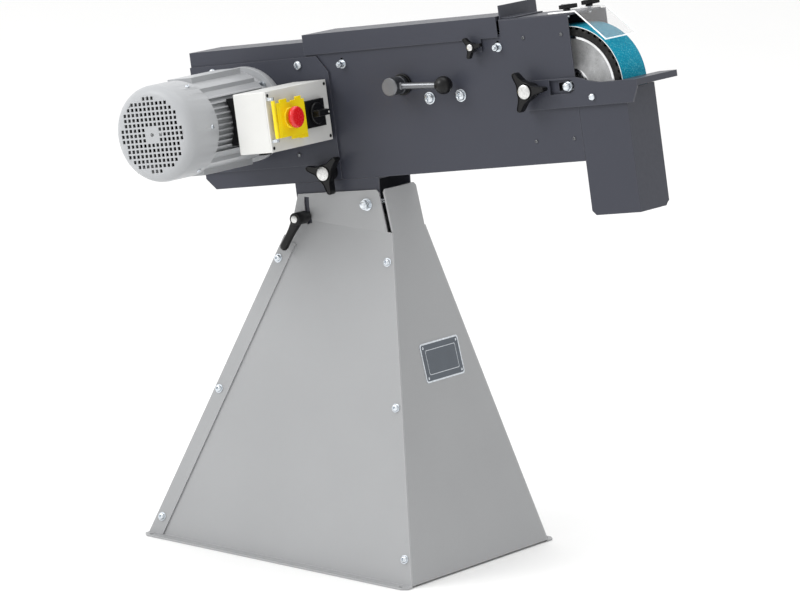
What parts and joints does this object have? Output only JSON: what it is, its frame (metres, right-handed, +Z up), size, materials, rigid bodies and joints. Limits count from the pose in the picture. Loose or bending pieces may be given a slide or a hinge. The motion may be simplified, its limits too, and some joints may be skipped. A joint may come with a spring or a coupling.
{
  "type": "pedestal belt grinder",
  "caption": "Pedestal belt grinder: tilting belt head with contact wheel, flange motor, work rest, clear guard and hinged cover on a folded sheet-metal stand.",
  "frame": {"origin": "centre of the four floor anchor holes, on the floor", "axes": "+X towards the contact wheel, -Y the motor side, +Z up"},
  "size_m": [0.9625, 0.5694, 1.025],
  "materials": {
    "stand_paint": "light grey powder coat, satin",
    "head_paint": "slate grey powder coat, satin",
    "motor_paint": "grey enamel on cast aluminium",
    "zinc": "zinc plated",
    "steel": "machined",
    "cast_aluminium": "cast and turned",
    "copper": "enamelled windings and lamination",
    "rubber": "grooved rubber tyre",
    "abrasive": "coated abrasive cloth",
    "black_plastic": "moulded",
    "white_plastic": "moulded",
    "yellow_plastic": "moulded",
    "red_plastic": "moulded",
    "green_plastic": "moulded",
    "clear_guard": "clear polycarbonate sheet",
    "badge": "printed plate with no text"
  },
  "bodies": {
    "stand": {"stand_front_panel": "stand_paint", "stand_back_panel": "stand_paint", "stand_left_panel": "stand_paint", "stand_right_panel": "stand_paint", "stand_bolts": "zinc", "badge_plate": "badge", "pivot_bolt": "zinc"},
    "head": {"saddle_bracket": "head_paint", "front_panel": "head_paint", "back_panel": "head_paint", "housing_wrap": "head_paint", "top_front_panel": "head_paint", "work_stop": "head_paint", "spark_chute": "head_paint", "spark_baffle": "head_paint", "platen": "zinc", "platen_studs": "zinc", "small_screws": "zinc", "guide_bolts": "zinc", "clamp_studs": "zinc", "abrasive_belt": "abrasive", "lever_bush": "black_plastic", "motor_plate": "head_paint", "motor_plate_bolts": "zinc", "motor_flange": "motor_paint", "motor_housing": "motor_paint", "rear_end_shield": "motor_paint", "stator_core": "copper", "motor_bearings": "steel", "fan_cover": "motor_paint", "terminal_base": "black_plastic", "cable_gland": "black_plastic", "control_box": "white_plastic", "control_lid": "white_plastic", "selector_base": "black_plastic", "hinge_pins": "zinc"},
    "rotor": {"motor_shaft": "steel", "rotor_core": "cast_aluminium", "cooling_fan": "black_plastic", "drive_wheel": "cast_aluminium"},
    "tension_slide": {"tension_arm": "zinc", "contact_axle": "zinc"},
    "contact_wheel": {"contact_hub": "cast_aluminium", "contact_tyre": "rubber", "contact_bearings": "steel"},
    "tension_lever": {"tension_lever": "zinc"},
    "belt_cover": {"belt_cover": "head_paint"},
    "cover_knob": {"cover_knob": "black_plastic"},
    "work_rest": {"work_rest": "head_paint"},
    "rest_knob": {"rest_knob": "black_plastic"},
    "tracking_knob": {"tracking_knob": "black_plastic"},
    "spark_guard": {"spark_guard": "clear_guard"},
    "guard_knob_front": {"guard_knob_front": "black_plastic"},
    "guard_knob_rear": {"guard_knob_rear": "black_plastic"},
    "clamp_lever": {"clamp_lever": "black_plastic"},
    "estop_flap": {"estop_flap": "yellow_plastic"},
    "estop_button": {"estop_button": "red_plastic"},
    "start_button": {"start_button": "green_plastic"},
    "stop_button": {"stop_button": "red_plastic"},
    "selector_knob": {"selector_knob": "black_plastic"}
  },
  "joints": [
    {"name": "head_tilt", "type": "hinge", "parent": "stand", "child": "head", "pos_m": [0.0512, 0, 0.6212], "axis": [0, -1, 0], "range_deg": [-11.4, 1.5]},
    {"name": "clamp_lever_turn", "type": "hinge", "parent": "head", "child": "clamp_lever", "pos_m": [-0.07408, 0, 0.5829], "axis": [0, -1, 0], "range_deg": [0, 80]},
    {"name": "motor_spin", "type": "hinge", "parent": "head", "child": "rotor", "pos_m": [-0.21149, 0, 0.74796], "axis": [0, -1, 0], "continuous": true},
    {"name": "tension_lever_turn", "type": "hinge", "parent": "head", "child": "tension_lever", "pos_m": [0.11621, 0, 0.84278], "axis": [0, -1, 0], "range_deg": [0, 90]},
    {"name": "tension_slide_in", "type": "slide", "parent": "head", "child": "tension_slide", "axis": [-0.9802, 0, -0.1982], "range_m": [0, 0.0156]},
    {"name": "contact_wheel_spin", "type": "hinge", "parent": "tension_slide", "child": "contact_wheel", "pos_m": [0.4609, 0, 0.8839], "axis": [0, -1, 0], "continuous": true},
    {"name": "cover_open", "type": "hinge", "parent": "head", "child": "belt_cover", "pos_m": [0.111, 0.0545, 0.89886], "axis": [-0.9802, 0, -0.1982], "range_deg": [0, 100]},
    {"name": "cover_knob_turn", "type": "hinge", "parent": "head", "child": "cover_knob", "pos_m": [0.26626, 0, 0.92821], "axis": [0, -1, 0], "range_deg": [0, 360]},
    {"name": "work_rest_slide", "type": "slide", "parent": "head", "child": "work_rest", "axis": [0.9802, 0, 0.1982], "range_m": [0, 0.01]},
    {"name": "rest_knob_turn", "type": "hinge", "parent": "head", "child": "rest_knob", "pos_m": [0.39053, 0, 0.86865], "axis": [0, -1, 0], "range_deg": [0, 360]},
    {"name": "tracking_knob_turn", "type": "hinge", "parent": "head", "child": "tracking_knob", "pos_m": [-0.0262, 0, 0.66911], "axis": [0, -1, 0], "range_deg": [0, 360]},
    {"name": "guard_slide", "type": "slide", "parent": "head", "child": "spark_guard", "axis": [0.9802, 0, 0.1982], "range_m": [0, 0.015]},
    {"name": "guard_knob_front_turn", "type": "hinge", "parent": "head", "child": "guard_knob_front", "pos_m": [0.44123, -0.035, 1.00643], "axis": [-0.1982, 0, 0.9802], "range_deg": [0, 360]},
    {"name": "guard_knob_rear_turn", "type": "hinge", "parent": "head", "child": "guard_knob_rear", "pos_m": [0.44123, 0.035, 1.00643], "axis": [-0.1982, 0, 0.9802], "range_deg": [0, 360]},
    {"name": "flap_open", "type": "hinge", "parent": "head", "child": "estop_flap", "pos_m": [-0.02085, -0.234, 0.7865], "axis": [0.1982, 0, -0.9802], "range_deg": [0, 105]},
    {"name": "estop_press", "type": "slide", "parent": "estop_flap", "child": "estop_button", "axis": [-0.9802, 0, -0.1982], "range_m": [0, 0.005], "stiffness_N_per_m": 900},
    {"name": "start_press", "type": "slide", "parent": "head", "child": "start_button", "axis": [-0.9802, 0, -0.1982], "range_m": [0, 0.003], "stiffness_N_per_m": 700},
    {"name": "stop_press", "type": "slide", "parent": "head", "child": "stop_button", "axis": [-0.9802, 0, -0.1982], "range_m": [0, 0.003], "stiffness_N_per_m": 700},
    {"name": "selector_turn", "type": "hinge", "parent": "head", "child": "selector_knob", "pos_m": [-0.03035, -0.112, 0.7805], "axis": [0.9802, 0, 0.1982], "range_deg": [0, 90]}
  ],
  "couplings": [
    {"joint": "contact_wheel_spin", "follows": "motor_spin", "ratio": 1},
    {"joint": "tension_slide_in", "follows": "tension_lever_turn", "m_per_rad": 0.009905}
  ]
}
